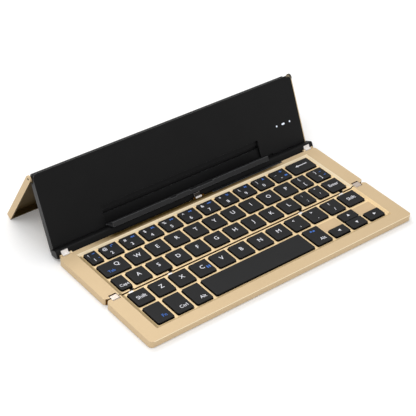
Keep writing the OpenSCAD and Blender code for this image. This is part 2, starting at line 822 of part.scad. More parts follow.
module battery() {
    color([0.7, 0.72, 0.75]) on_stand()
        translate([battery_x0 + battery_w / 2, (battery_s0 + battery_s1) / 2, 0])
            round_block(battery_w, battery_s1 - battery_s0, 1.5, back_n + 0.4, -face_t);
}

// Chip on the control board, placed from the board's lower left corner
module chip(x, s, w, d) {
    span([board_x0 + x, board_s0 + s, board_n - eps],
         [board_x0 + x + w, board_s0 + s + d, board_n + chip_h]);
}

module control_board() {
    color([0.1, 0.35, 0.2]) on_stand() union() {
        span([board_x0, board_s0, board_n - board_t], [board_x1, board_s1, board_n]);
        for (c = chips) chip(c[0], c[1], c[2], c[3]);
    }
}

module status_lights() {
    color([0.9, 0.94, 1]) on_stand() light_shapes(board_n, 0.05);
}

module charging_socket() {
    color([0.75, 0.75, 0.77]) on_stand() difference() {
        span([board_x1, socket_s - socket_w / 2, socket_n0],
             [stand_w / 2 - 0.1, socket_s + socket_w / 2, socket_n1]);
        span([board_x1 + 3, socket_s - socket_w / 2 + 0.4, socket_n0 + 0.35],
             [stand_w / 2 + 1, socket_s + socket_w / 2 - 0.4, socket_n1 - 0.35]);
    }
}

// ---- Phone ledge ----

notch_a = [-21, -15.5];
notch_b = [-3, 19];

module phone_ledge() {
    color([0.17, 0.17, 0.18]) on_stand() difference() {
        bar(-ledge_w / 2, ledge_w / 2) {
            translate([ledge_s, ledge_n]) circle(r = ledge_barrel_r);
            translate([ledge_under, ledge_n]) square([shelf_t, ledge_reach]);
            translate([ledge_under, ledge_d - 1.5]) square([lip_h, 1.5]);
        }
        rod(-ledge_w, ledge_w, ledge_s, ledge_n, ledge_pin_r + run_fit);
        for (n = [notch_a, notch_b])
            span([n[0], lip_top - 0.9, ledge_d - 2], [n[1], lip_top + 1, ledge_d + 1]);
    }
}

module ledge_pin() {
    color([0.7, 0.7, 0.72]) on_stand()
        rod(-pocket_w / 2 - wall_t, pocket_w / 2 + wall_t, ledge_s, ledge_n, ledge_pin_r);
}

// ---- Support flap ----

module support_flap() {
    plate_u = sqrt(barrel_r * barrel_r - 1) + side_gap;
    color([0.88, 0.78, 0.62]) on_flap() difference() {
        union() {
            span([-flap_x, plate_u, flap_half - flap_wall], [flap_x, flap_len, flap_half]);
            span([-flap_x, flap_len - flap_wall, -flap_half], [flap_x, flap_len, flap_half]);
            for (side = [-1, 1])
                bar(side * (flap_x - flap_wall / 2) - flap_wall / 2,
                    side * (flap_x - flap_wall / 2) + flap_wall / 2) {
                    circle(r = flap_half);
                    translate([0, -flap_half]) square([flap_len, 2 * flap_half]);
                }
        }
        rod(-flap_x - 1, flap_x + 1, 0, 0, flap_pin_r);
    }
}

module flap_pin() {
    color([0.8, 0.8, 0.82]) on_flap() rod(-flap_x, flap_x, 0, 0, flap_pin_r);
}

middle_top_cover();
middle_bottom_cover();
middle_key_plate();
middle_dome_sheet();
middle_feet();
middle_screws();
cable_cover();
stand_hinge_pins();
front_top_cover();
front_bottom_cover();
front_key_plate();
front_dome_sheet();
front_feet();
front_screws();
fold_tabs();
fold_links();
fold_pins();
spine();
stand_hinge_leaves();
stand_tray();
stand_back_plate();
battery();
control_board();
status_lights();
charging_socket();
ledge_pin();
phone_ledge();
support_flap();
flap_pin();
for (name = key_nodes) keys_named(name);
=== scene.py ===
# %% [markdown]
# # A folding keyboard
# The object is a pocket keyboard of two gold metal panels with black keys, a black stand that leans
# back behind them, and a gold flap that props the stand up. The construction comes ready made as a
# frame of solids. This script dresses those solids: it rounds their edges, gives each surface its
# finish, prints the legends on the keys and lights the scene.

# %% Load the frame
import json
import math

import bmesh
import bpy
from mathutils import Matrix, Vector


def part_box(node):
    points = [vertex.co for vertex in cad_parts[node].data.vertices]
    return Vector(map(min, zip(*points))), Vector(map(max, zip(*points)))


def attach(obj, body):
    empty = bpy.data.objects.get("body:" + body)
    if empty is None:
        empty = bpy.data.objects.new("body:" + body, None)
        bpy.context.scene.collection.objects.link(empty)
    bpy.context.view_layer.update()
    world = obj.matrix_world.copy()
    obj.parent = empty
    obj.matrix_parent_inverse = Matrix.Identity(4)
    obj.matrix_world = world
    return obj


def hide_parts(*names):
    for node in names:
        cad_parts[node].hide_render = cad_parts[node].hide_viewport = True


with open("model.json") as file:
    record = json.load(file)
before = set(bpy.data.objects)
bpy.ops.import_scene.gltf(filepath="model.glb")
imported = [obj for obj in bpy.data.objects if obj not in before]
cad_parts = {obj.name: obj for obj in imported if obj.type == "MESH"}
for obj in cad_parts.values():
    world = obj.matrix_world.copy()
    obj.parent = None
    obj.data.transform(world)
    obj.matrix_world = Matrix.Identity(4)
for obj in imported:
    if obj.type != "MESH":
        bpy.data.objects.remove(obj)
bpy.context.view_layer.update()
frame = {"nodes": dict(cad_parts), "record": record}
nodes = frame["nodes"]
bodies = frame["record"]["behaviour"]["bodies"]
body_of = {node: body for body, members in bodies.items() for node in members}
slot_of = {part["node"]: part["material_slot"] for part in frame["record"]["subparts"]}
MM = 0.001

# %% [markdown]
# ## Shader maths
# A finish is a small network of nodes. Written by hand, each sum needs a node, two links and a place
# to keep them. A class that wraps a socket and knows +, - and * lets the maths read as maths, and a
# second class adds every other node. That keeps each finish short enough to be read at a glance.


# %% A socket that can be calculated with
def feed(tree, place, value):
    """Links a wire to an input socket, or writes a plain value into it."""
    if isinstance(value, Wire):
        tree.links.new(value.socket, place)
    else:
        place.default_value = value


class Wire:
    """An output socket of a shader node, as a term of an expression."""

    def __init__(self, tree, socket):
        self.tree = tree
        self.socket = socket

    def maths(self, operation, first, second):
        node = self.tree.nodes.new("ShaderNodeMath")
        node.operation = operation
        feed(self.tree, node.inputs[0], first)
        feed(self.tree, node.inputs[1], second)
        return Wire(self.tree, node.outputs[0])

    def __add__(self, other):
        return self.maths("ADD", self, other)

    __radd__ = __add__

    def __sub__(self, other):
        return self.maths("SUBTRACT", self, other)

    def __rsub__(self, other):
        return self.maths("SUBTRACT", other, self)

    def __mul__(self, other):
        return self.maths("MULTIPLY", self, other)

    __rmul__ = __mul__

    def larger(self, other):
        return self.maths("MAXIMUM", self, other)

    def smaller(self, other):
        return self.maths("MINIMUM", self, other)

    def ramp(self, start, end):
        """0 up to start, 1 from end on and a straight line between them."""
        share = (self - start) * (1 / (end - start))
        return share.larger(0.0).smaller(1.0)


# %% A network of nodes
class Network:
    """The nodes of one finish or of the world, and a short way to add each of them."""

    def __init__(self, tree):
        self.tree = tree
        self.tree.nodes.clear()

    def node(self, kind, settings=(), placed=(), **named):
        """Adds a node, sets it up and returns its first output.

        Its inputs are filled by name, or as (place, value) on a node that repeats its names.
        """
        made = self.tree.nodes.new(kind)
        for key, value in dict(settings).items():
            setattr(made, key, value)
        for place, value in placed:
            feed(self.tree, made.inputs[place], value)
        for key, value in named.items():
            feed(self.tree, made.inputs[key.replace("_", " ")], value)
        return Wire(self.tree, made.outputs[0])

    def outputs(self, kind, *names, **inputs):
        """Adds a node and returns the outputs that have these names."""
        made = self.node(kind, **inputs).socket.node
        return [Wire(self.tree, made.outputs[name]) for name in names]

    def end(self, kind, surface):
        """Adds the output node that takes what all the others worked out."""
        made = self.tree.nodes.new(kind)
        feed(self.tree, made.inputs["Surface"], surface)


# %% A finish: one material and what it is mixed from
# The sockets of a Mix node that carry colours, because it has a set for each type of value
FIRST_COLOUR, SECOND_COLOUR, MIXED_COLOUR = 6, 7, 2


class Finish(Network):
    def __init__(self, name):
        self.material = bpy.data.materials.new(name)
        self.material.use_nodes = True
        super().__init__(self.material.node_tree)

    def place(self):
        return self.outputs("ShaderNodeTexCoord", "Object")[0]

    def axes(self):
        """The x, y and z of a point, in metres in the shared frame."""
        return self.outputs("ShaderNodeSeparateXYZ", "X", "Y", "Z", Vector=self.place())

    def noise(self, size, detail=2.0):
        """Noise whose features are about size metres across."""
        spot = self.node("ShaderNodeMapping", Vector=self.place())
        return self.node("ShaderNodeTexNoise", Vector=spot, Scale=1 / size, Detail=detail)

    def blend(self, factor, first, second):
        """Mixes two colours, each a plain triple or the output of another blend."""
        first, second = (c if isinstance(c, Wire) else (*c, 1) for c in (first, second))
        placed = ((0, factor), (FIRST_COLOUR, first), (SECOND_COLOUR, second))
        made = self.node("ShaderNodeMix", {"data_type": "RGBA"}, placed)
        return Wire(self.tree, made.socket.node.outputs[MIXED_COLOUR])

    def bump(self, height, depth):
        return self.node("ShaderNodeBump", Height=height, Distance=depth, Strength=1.0)

    def output(self, surface):
        self.end("ShaderNodeOutputMaterial", surface)
        return self.material


# %% [markdown]
# ## Gold metal
# The shells are aluminium, blasted with fine beads and dyed gold. The blasting leaves dents too
# small to see one by one, which spread every reflection, so the metal looks soft and pale. A slow
# drift of colour keeps the wide surfaces from looking painted, and a fine grain feeds the bump.
# Where the metal lies in shade, as under the ledge, a patch of darker colour helps the soft light,
# which alone would leave it too bright. A patch is a mask worked out from the places of the pieces,
# so it stays where it belongs when a size changes.

# %% Anodised metal
DRIFT = 30 * MM
GRAIN = 0.25 * MM
DENT_DEPTH = 0.012 * MM
# How much of the roughness goes up and down with the drift and with the grain
DRIFT_ROUGH, GRAIN_ROUGH = 0.06, 0.05


def anodised(name, dark, light, rough, metal=1.0, *patches):
    """Metal that drifts between two colours. A patch gives a mask, its colour and its metal."""
    f = Finish(name)
    drift = f.noise(DRIFT, 3.0)
    grain = f.noise(GRAIN, 1.0)
    colour = f.blend(drift, dark, light)
    for where, patch_colour, patch_metal in patches:
        colour = f.blend(where(f), colour, patch_colour)
        metal = metal + (patch_metal - metal) * where(f)
    shader = f.node(
        "ShaderNodeBsdfPrincipled",
        Base_Color=colour,
        Metallic=metal,
        Roughness=rough + DRIFT_ROUGH * (drift - 0.5) + GRAIN_ROUGH * (grain - 0.5),
        Normal=f.bump(grain, DENT_DEPTH),
    )
    return f.output(shader)


# %% Where the patches lie
def under_ledge(f):
    """Painted shade where the ledge hangs over the back edge of the middle panel, with wide soft
    ends.
    """
    x, y = f.axes()[:2]
    low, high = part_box("phone_ledge")
    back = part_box("middle_top_cover")[1].y
    left_fade, right_fade = 25 * MM, 14 * MM
    begins, full = 8.5 * MM, 3.5 * MM
    across = x.ramp(low.x - left_fade, low.x) * x.ramp(high.x + right_fade, high.x)
    return across * y.ramp(back - begins, back - full)


def painted_wall_shade(f):
    """Painted shade on the deck strips beside the well's left wall and, half as dark, its front
    wall.
    """
    x, y = f.axes()[:2]
    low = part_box("front_side_keys")[0]
    begins, full = 0.5 * MM, 0.3 * MM
    left = x.ramp(low.x + begins, low.x - full)
    front = 0.5 * y.ramp(low.y + begins, low.y - full)
    return left.larger(front)


def leaf_ledge_shade(f):
    """Painted shade on the middle leaf of the stand hinge, behind its round front."""
    x, y = f.axes()[:2]
    low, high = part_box("phone_ledge")
    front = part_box("stand_hinge_leaves")[0].y
    fade = 1 * MM
    begins, full = 0.9 * MM, 1.3 * MM
    across = x.ramp(low.x, low.x + fade) * x.ramp(high.x, high.x - fade)
    return across * y.ramp(front + begins, front + full)


def bare_deck(f):
    """Two keyless areas behind the first and last of three arrow columns, kept free of painted
    light.
    """
    x, y = f.axes()[:2]
    low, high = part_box("arrow_keys")
    middle = (low + high) / 2
    half_column = (high.x - low.x) / 3 / 2
    margin, fade = 0.8 * MM, 0.4 * MM
    right = x.ramp(middle.x + half_column, middle.x + half_column + fade)
    left = x.ramp(middle.x - half_column, middle.x - half_column - fade)
    columns = (left + right) * x.ramp(low.x - margin, low.x - margin + fade)
    columns = columns * x.ramp(high.x + margin, high.x + margin - fade)
    back = y.ramp(high.y + margin, high.y + margin - fade)
    return columns * y.ramp(middle.y, middle.y + fade) * back


def plate_top(f):
    """The top of the back plate, which lies behind the black edge of the stand."""
    z = f.axes()[2]
    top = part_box("stand_back_plate")[1].z
    begins, full = 3.6 * MM, 2.8 * MM
    return z.ramp(top - begins, top - full)


# %% The metals: dark and light colour, roughness and metal
GOLD = ((0.64, 0.475, 0.275), (0.70, 0.525, 0.31), 0.5, 0.3)
gold = anodised("gold_metal", *GOLD)
# The tops of the covers take painted shade where the ledge hangs over them
gold_back = anodised("gold_back", *GOLD, (under_ledge, (0.13, 0.08, 0.018), 0.9))
gold_plate = anodised("gold_plate", *GOLD, (plate_top, (0.008, 0.008, 0.008), 0.0))
gold_cover = anodised("gold_cover", (0.62, 0.46, 0.27), (0.70, 0.53, 0.32), 0.46)
# Lighter gold for the bevels: a painted highlight
gold_edge = anodised("gold_edge", (0.80, 0.66, 0.44), (0.86, 0.71, 0.48), 0.4, 0.5)
# Paler gold on the deck is painted light between the keys, with painted shade along the walls
gold_deck = anodised(
    "gold_deck",
    (0.95, 0.70, 0.385),
    (1.0, 0.75, 0.42),
    0.46,
    0.15,
    (bare_deck, (0.67, 0.48, 0.27), 0.15),
    (painted_wall_shade, (0.38, 0.27, 0.115), 0.15),
)
# Painted shade on slopes that look back or right, painted light on slopes that look front or left
gold_shade = anodised("gold_shade", (0.44, 0.315, 0.165), (0.50, 0.36, 0.195), 0.5, 0.4)
gold_lit = anodised("gold_lit", (0.98, 0.80, 0.54), (1.0, 0.85, 0.59), 0.4, 0.0)
# Brown as painted shade on the walls of the fold, the lugs under the ledge and the link seats
gold_dark_shadow = anodised("gold_dark_shadow", (0.12, 0.05, 0.006), (0.15, 0.065, 0.009), 0.6)
# Brown as painted shade inside the flap
gold_flap_shade = anodised("gold_flap_shade", (0.115, 0.078, 0.030), (0.14, 0.095, 0.037), 0.55, 0.85)
SILVER = ((0.93, 0.88, 0.85), (0.98, 0.94, 0.91), 0.3, 0.3)
silver = anodised("silver_metal", *SILVER)
# The middle hinge leaf takes painted shade where the ledge hangs over it
leaf_metal = anodised("leaf_metal", *SILVER, (leaf_ledge_shade, (0.03, 0.022, 0.015), 0.3))
link_metal = anodised("link_metal", (0.60, 0.50, 0.43), (0.68, 0.58, 0.50), 0.34, 0.7)
silver_edge = anodised("silver_edge", (0.84, 0.80, 0.78), (0.90, 0.87, 0.85), 0.36)
steel = anodised("steel", (0.42, 0.42, 0.44), (0.55, 0.55, 0.57), 0.34)
foil = anodised("cell_foil", (0.45, 0.46, 0.48), (0.58, 0.59, 0.61), 0.35)
print("metals", len(bpy.data.materials))

# %% [markdown]
# ## Black plastics, rubber and the rest
# The keys, the stand and the ledge are moulded from black plastic with a fine matt skin: shallow
# dents a few tenths of a millimetre across, made by noise that feeds a bump. The keys are a shade
# lighter than the stand.

# %% Moulded plastic
SKIN = 0.3 * MM
SKIN_DEPTH = 0.01 * MM
SKIN_ROUGH = 0.1
CLOUD = 20 * MM


def moulded(name, dark, light, rough, sheen=0.3):
    f = Finish(name)
    skin = f.noise(SKIN)
    shader = f.node(
        "ShaderNodeBsdfPrincipled",
        Base_Color=f.blend(f.noise(CLOUD), dark, light),
        Roughness=rough + SKIN_ROUGH * (skin - 0.5),
        Specular_IOR_Level=sheen,
        Normal=f.bump(skin, SKIN_DEPTH),
    )
    return f.output(shader)


stand_black = moulded(
    "black_plastic",
    (0.0058, 0.0058, 0.0061),
    (0.0085, 0.0085, 0.0088),
    0.5,
    0.15,
)
# Light grey on the stand's bevels: a painted highlight
stand_edge = moulded("black_edge", (0.10, 0.104, 0.11), (0.13, 0.134, 0.14), 0.4, 0.4)
# Lighter grey on the stand's left walls: painted light
side_lit_grey = moulded("side_plastic", (0.022, 0.022, 0.023), (0.030, 0.030, 0.031), 0.45)
ledge_black = moulded("ledge_plastic", (0.017, 0.017, 0.018), (0.022, 0.022, 0.023), 0.42)
key_black = moulded("key_plastic", (0.0125, 0.0125, 0.013), (0.016, 0.016, 0.0165), 0.52, 0.16)
# Lighter grey on the key rims: a painted highlight
key_edge = moulded("key_edge", (0.03, 0.03, 0.032), (0.04, 0.04, 0.042), 0.42, 0.25)
# Near black on the key walls and the flap's pin: painted shade
key_side = moulded("key_side", (0.002, 0.002, 0.002), (0.003, 0.003, 0.003), 0.6, 0.05)
silicone = moulded("silicone", (0.45, 0.47, 0.50), (0.55, 0.57, 0.60), 0.6)
rubber = moulded("foot_rubber", (0.012, 0.012, 0.012), (0.018, 0.018, 0.018), 0.8)
board_green = moulded("circuit_board", (0.01, 0.08, 0.04), (0.015, 0.12, 0.06), 0.4)
ink_white = moulded("ink_white", (0.80, 0.80, 0.86), (0.88, 0.88, 0.93), 0.6)
ink_blue = moulded("ink_blue", (0.045, 0.16, 0.56), (0.06, 0.19, 0.64), 0.6)


# %% Lit light pipes
def lit(name, colour, strength):
    f = Finish(name)
    dimmer = [0.9 * c for c in colour]
    shader = f.node(
        "ShaderNodeBsdfPrincipled",
        Base_Color=(*colour, 1),
        Roughness=0.25,
        Emission_Color=f.blend(f.noise(1 * MM), colour, dimmer),
        Emission_Strength=strength,
    )
    return f.output(shader)


light_pipe = lit("light_pipe", (0.72, 0.78, 0.88), 0.45)

# %% Each piece gets its finish
FINISHES = {
    "gold_metal": gold,
    "gold_cover": gold_cover,
    "black_plastic": stand_black,
    "key_plastic": key_black,
    "silver_metal": silver,
    "steel": steel,
    "silicone": silicone,
    "foot_rubber": rubber,
    "cell_foil": foil,
    "circuit_board": board_green,
    "light_pipe": light_pipe,
}
# Lighter edge colours for gold, black plastic and keys are painted highlights; silver's is darker
EDGES = {
    "gold_metal": gold_edge,
    "gold_cover": gold_edge,
    "black_plastic": stand_edge,
    "key_plastic": key_edge,
    "silver_metal": silver_edge,
}
OWN_FINISH = {
    "stand_back_plate": gold_plate,
    "stand_hinge_leaves": leaf_metal,
    "fold_links": link_metal,
    "phone_ledge": ledge_black,
    # The flap's pin takes the near black of the key walls: painted shade, as in a hole
    "flap_pin": key_side,
}
for name, node in nodes.items():
    for slot in node.material_slots:
        slot.material = OWN_FINISH.get(name, FINISHES[slot_of[name]])
print("finishes", len(bpy.data.materials))

# %% [markdown]
# ## Softened edges
# Nothing that is moulded or milled has a perfectly sharp edge. A copy of the solid is cleaned, its
# sharp outer edges are bevelled by a few tenths of a millimetre, and the copy stands for the solid.
# The flat faces keep straight normals, because each corner is shaded by the areas round it. The
# bevels take an edge finish, for most materials a lighter colour that is a painted highlight.

# %% Copy and bevel
SEAM = 0.0005 * MM
FLAT = math.radians(0.2)
SHARP = math.radians(35)


def merged_copy(node):
    shape = bmesh.new()
    shape.from_mesh(nodes[node].data)
    bmesh.ops.remove_doubles(shape, verts=shape.verts, dist=SEAM)
    return shape


def sharp_edges(shape, keep):
    return [
        edge
        for edge in shape.edges
        if edge.is_manifold and edge.is_convex and edge.calc_face_angle(0) > SHARP and keep(edge)
    ]


def bevel(shape, edges, width):
    """Rounds the edges and returns the new faces."""
    return bmesh.ops.bevel(
        shape,
        geom=edges,
        offset=width,
        offset_type="OFFSET",
        affect="EDGES",
        segments=2,
        profile=0.5,
        material=-1,
        loop_slide=False,
        clamp_overlap=True,
    )["faces"]


# %% Publish a piece
CREASE = math.radians(32)


def publish(shape, name, node, *materials):
    """Turns a bmesh into a piece that rides with the node's body, with the finishes given."""
    for face in shape.faces:
        face.smooth = True
    for edge in shape.edges:
        edge.smooth = edge.is_manifold and edge.calc_face_angle(0) < CREASE
    mesh = bpy.data.meshes.new(name)
    shape.to_mesh(mesh)
    shape.free()
    piece = bpy.data.objects.new(name, mesh)
    bpy.context.scene.collection.objects.link(piece)
    for material in materials:
        mesh.materials.append(material)
    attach(piece, body_of[node])
    return piece


# %% A softened piece in place of its node
# A face's place in the list of finishes: the node's own, its edges', and then the extra ones
OWN, EDGE, EXTRA = 0, 1, 2


def any_edge(edge):
    return True


def softened(node, width, keep=any_edge, shade=None, extra=()):
    """Bevels a copy by width millimetres. Bevels take the edge finish, and shade picks the others'.
    """
    shape = merged_copy(node)
    bmesh.ops.dissolve_limit(shape, angle_limit=FLAT, verts=shape.verts, edges=shape.edges)
    edges = sharp_edges(shape, keep)
    for face in bevel(shape, edges, width * MM):
        face.material_index = EDGE
    shape.normal_update()
    if shade:
        for face in shape.faces:
            if face.material_index == OWN:
                face.material_index = shade(face)
    own = OWN_FINISH.get(node, FINISHES[slot_of[node]])
    piece = publish(shape, node + "_soft", node, own, EDGES.get(slot_of[node], own), *extra)
    even_shading = piece.modifiers.new("even_shading", "WEIGHTED_NORMAL")
    even_shading.keep_sharp = True
    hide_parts(node)
    print(node, "edges", len(edges), "faces", len(piece.data.polygons))


# %% [markdown]
# ## Keys
# A key cap is a hollow moulding with a flat top. Only the rim of its top is worn round, and the rim
# takes a lighter grey, a painted highlight that draws a fine line along the edge.

# %% Round the tops of the keys
KEY_NODES = [name for name in nodes if slot_of[name] == "key_plastic"]
KEY_BEVEL = 0.12
RIM_DEPTH = 0.4 * MM
# A wall of a key has less than this much of its normal upright
STEEP = 0.5
key_top = max(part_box(name)[1].z for name in KEY_NODES)


def key_shade(face):
    """The side walls are a near black, darker than the tops: painted shade."""
    return EXTRA if abs(face.normal.z) < STEEP else OWN


def key_rim(edge):
    return all(v.co.z > key_top - RIM_DEPTH for v in edge.verts)


for name in KEY_NODES:
    softened(name, KEY_BEVEL, key_rim, key_shade, (key_side,))

# %% [markdown]
# ## Shells
# The gold covers, the flap and the black stand get their softened edges here. Their faces differ in
# brightness more than soft light alone makes them, so each group of faces takes a gold of its own,
# with light and shade painted in: painted shade in brown on the walls of the fold, on the lugs under
# the ledge, on the walls of the link seats and inside the flap, painted light as a pale gold on the
# deck and on the slopes of the well that look to the front or the left, and painted shade as a
# darker gold on the slopes that look back or to the right. The left wall of the stand is a lighter
# grey, as painted light.

# %% Sizes that tell the faces apart
# Least part of a face's normal along an axis, for a face that looks along it or leans towards it
FACING, LEANING = 0.9, 0.3
LINK_SEAT = 6 * MM
deck_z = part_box("fold_tabs")[1].z
fold_y = (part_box("middle_top_cover")[0].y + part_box("front_top_cover")[1].y) / 2
panel_x, back_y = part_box("middle_top_cover")[1].xy
ledge_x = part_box("phone_ledge")[1].x
seat_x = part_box("fold_links")[1].x - LINK_SEAT
flap_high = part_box("support_flap")[1]
plate_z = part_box("stand_back_plate")[1].z
tray_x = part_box("stand_tray")[0].x
print("deck at", deck_z, "fold at", fold_y)

# %% Which gold each face of a cover takes
SHADOWED, DECK, DARK_SLOPE, LIT_SLOPE, TOP = range(EXTRA, EXTRA + 5)
COVER_GOLDS = (gold_dark_shadow, gold_deck, gold_shade, gold_lit, gold_back)
# How far lugs, the lip and the wall at the fold, the link seats and the well's border reach
LUG, LIP, WALL, SEAT, BORDER = 2.5 * MM, 0.6 * MM, 1.2 * MM, 6 * MM, 6 * MM
SEAT_END = 2 * MM
SLOPE_RISE = 0.2


def is_shadowed(face):
    """Painted shade: lugs under the ledge, the two walls of the fold and the walls of the link
    seats.
    """
    middle = face.calc_center_median()
    normal = face.normal
    off_fold, off_axis = abs(middle.y - fold_y), abs(middle.x)
    width = max(v.co.x for v in face.verts) - min(v.co.x for v in face.verts)
    lug = middle.y > back_y - LUG and off_axis < ledge_x and width < LUG
    lip = off_fold < LIP and abs(normal.y) > FACING
    wall = off_fold < WALL and middle.z < deck_z and abs(normal.y) > LEANING
    seat = off_fold < SEAT and seat_x < off_axis < panel_x - SEAT_END and abs(normal.z) < LEANING
    return lug or lip or wall or seat


def cover_shade(face):
    """Walls in painted shade first, then what looks up, then the slopes of the well."""
    middle = face.calc_center_median()
    normal = face.normal
    if is_shadowed(face):
        return SHADOWED
    if normal.z > FACING:
        return DECK if middle.z < deck_z else TOP
    if normal.z > SLOPE_RISE and abs(middle.x) < panel_x - BORDER:
        if normal.y < -LEANING:
            return LIT_SLOPE
        if normal.x < -LEANING:
            return LIT_SLOPE if middle.y > fold_y else DECK
        if normal.y > LEANING or normal.x > LEANING:
            return DARK_SLOPE
    return OWN


# %% Which finish each face of the flap and the stand takes
FLAP_WALL = 1 * MM
CORNER_WIDTH, CORNER_HEIGHT = 12 * MM, 3.5 * MM
LIP_HEIGHT = 1.6 * MM
SIDE_DEPTH = 2.2 * MM
SIDEWAYS = 0.7


def flap_shade(face):
    """Painted shade in brown inside the flap; its upper right corner is as black as the stand."""
    middle = face.calc_center_median()
    within = abs(middle.x) < flap_high.x - FLAP_WALL
    if within and (face.normal.y < -LEANING or abs(face.normal.x) > FACING):
        return EXTRA
    right = middle.x > flap_high.x - CORNER_WIDTH
    return EXTRA + 1 if right and middle.z > flap_high.z - CORNER_HEIGHT else OWN


def lip_shade(face):
    """The short run of the gold lip over the top of the stand lies behind the black edge."""
    return EXTRA if face.calc_center_median().z > plate_z - LIP_HEIGHT else OWN


def stand_shade(face):
    """The left wall of the stand and of the spine, lighter grey as painted light."""
    left = face.calc_center_median().x < tray_x + SIDE_DEPTH
    return EXTRA if left and face.normal.x < -SIDEWAYS else OWN


# %% Round the shells
# Widths of the bevels in millimetres, from milled and stamped metal to moulded plastic
CRISP, SMALL, FOLDED, MOULDED = 0.12, 0.15, 0.2, 0.28
for name in ("middle_top_cover", "front_top_cover"):
    softened(name, CRISP, shade=cover_shade, extra=COVER_GOLDS)
softened("support_flap", FOLDED, shade=flap_shade, extra=(gold_flap_shade, stand_black))
for name in ("stand_tray", "spine"):
    softened(name, MOULDED, shade=stand_shade, extra=(side_lit_grey,))
for name in ("phone_ledge", "cable_cover"):
    softened(name, SMALL)
softened("stand_back_plate", SMALL, shade=lip_shade, extra=(stand_black,))
for name in ("fold_links", "stand_hinge_leaves", "fold_tabs", "middle_feet", "front_feet"):
    softened(name, CRISP)

# %% [markdown]
# ## Legends
# The legends are printed in white, and in blue where a key has a second use. A texture could carry
# them, but it would blur when seen close up, so each one is a very thin slab of ink that lies on the
# key. Words are text objects turned into meshes. Arrows and small signs are put together from bars
# and triangles. A key's place is read from its own solid, so the print keeps its place on the key
# whatever the size of the key.

# %% Where the keys are
ROW_STEP = 5 * MM
TOP_RIM = 0.01 * MM


def islands(node):
    """The tops of a node's separate solids, as (x0, x1, y0, y1, z), row by row from the back."""
    shape = merged_copy(node)
    todo = set(shape.verts)
    found = []
    while todo:
        group = []
        queue = [todo.pop()]
        while queue:
            vert = queue.pop()
            group.append(vert.co.copy())
            for edge in vert.link_edges:
                other = edge.other_vert(vert)
                if other in todo:
                    todo.remove(other)
                    queue.append(other)
        top = max(co.z for co in group)
        rim = [co for co in group if co.z > top - TOP_RIM]
        xs = [co.x for co in rim]
        ys = [co.y for co in rim]
        found.append((min(xs), max(xs), min(ys), max(ys), top))
    shape.free()
    return sorted(found, key=lambda key: (-round(key[2] / ROW_STEP), key[0]))


def spot(key, across, along):
    """The point of a key's top at those shares of its width and depth, and its height."""
    x0, x1, y0, y1, top = key
    return x0 + across * (x1 - x0), y0 + along * (y1 - y0), top


# %% Words in ink
INK = 0.012 * MM
WHITE, BLUE = 0, 1
# Height of the font's capitals, as a share of its size
CAPITALS = 0.73


def word_mesh(word, height, bold):
    """The word as a thin slab, centred on the origin, with capitals of that height."""
    curve = bpy.data.curves.new("word", "FONT")
    curve.body = word
    curve.size = height / CAPITALS
    curve.align_x = "CENTER"
    curve.extrude = INK
    curve.offset = bold
    curve.resolution_u = 3
    holder = bpy.data.objects.new("word", curve)
    bpy.context.scene.collection.objects.link(holder)
    bpy.context.view_layer.update()
    evaluated = holder.evaluated_get(bpy.context.evaluated_depsgraph_get())
    mesh = bpy.data.meshes.new_from_object(evaluated)
    bpy.data.objects.remove(holder)
    bpy.data.curves.remove(curve)
    mesh.transform(Matrix.Translation((0, -height / 2, 0)))
    return mesh


def add_word(shape, word, place, height, colour=WHITE, bold=0.02):
    """Adds a word round a place. Its height and the extra width of its strokes are millimetres."""
    x, y, z = place
    mesh = word_mesh(word, height * MM, bold * MM)
    mesh.transform(Matrix.Translation((x, y, z + INK)))
    start = len(shape.faces)
    shape.from_mesh(mesh)
    shape.faces.ensure_lookup_table()
    for face in shape.faces[start:]:
        face.material_index = colour
    bpy.data.meshes.remove(mesh)


# %% Bars and triangles in ink
def add_slab(shape, corners, place, colour=WHITE):
    """Adds a flat outline given in millimetres round a place, as thick as a word."""
    x, y, z = place
    verts = [shape.verts.new((x + a * MM, y + b * MM, z)) for a, b in corners]
    face = shape.faces.new(verts)
    face.material_index = colour
    face.normal_update()
    if face.normal.z > 0:
        face.normal_flip()
    made = bmesh.ops.extrude_face_region(shape, geom=[face])
    top = [v for v in made["geom"] if isinstance(v, bmesh.types.BMVert)]
    bmesh.ops.translate(shape, vec=(0, 0, 2 * INK), verts=top)
    for item in made["geom"]:
        if isinstance(item, bmesh.types.BMFace):
            item.material_index = colour
            for edge in item.edges:
                for side in edge.link_faces:
                    side.material_index = colour


def add_sign(shape, key, outlines, across, along, scale=1.0):
    """Adds a blue sign of several outlines at a spot of the key."""
    for outline in outlines:
        scaled = [(scale * a, scale * b) for a, b in outline]
        add_slab(shape, scaled, spot(key, across, along), BLUE)


def bar(x, y, width, height):
    left, right = x - width / 2, x + width / 2
    low, high = y - height / 2, y + height / 2
    return [(left, low), (right, low), (right, high), (left, high)]


def arrow_head(x, y, size, turn):
    """A triangle that points along turn degrees from the right, a little longer than wide."""
    corners = []
    for corner in (0, 128, 232):
        angle = math.radians(turn + corner)
        corners.append((x + size * math.cos(angle), y + size * math.sin(angle)))
    return corners


# %% Print one piece of ink for each node of keys
def legend_piece(node, draw):
    """Draws on the tops of a node's keys. The colours follow the order of WHITE and BLUE."""
    shape = bmesh.new()
    draw(shape, islands(node))
    piece = publish(shape, "legend_" + node.replace("key_", ""), node, ink_white, ink_blue)
    print(piece.name, "faces", len(piece.data.polygons))


# %% [markdown]
# ## What the keys say
# Each letter key is a node of its own, and its letter stands a little behind the middle. Keys with
# two characters have the shifted one near the back. The number keys also carry a small blue sign
# near their upper right corner for a second use, and a few other keys have such a sign too.

# %% Signs
DASH = [bar(0, 0, 1.6, 0.4)]
TWO_BARS = [bar(-0.4, 0, 0.5, 1.3), bar(0.5, 0, 0.5, 1.3)]
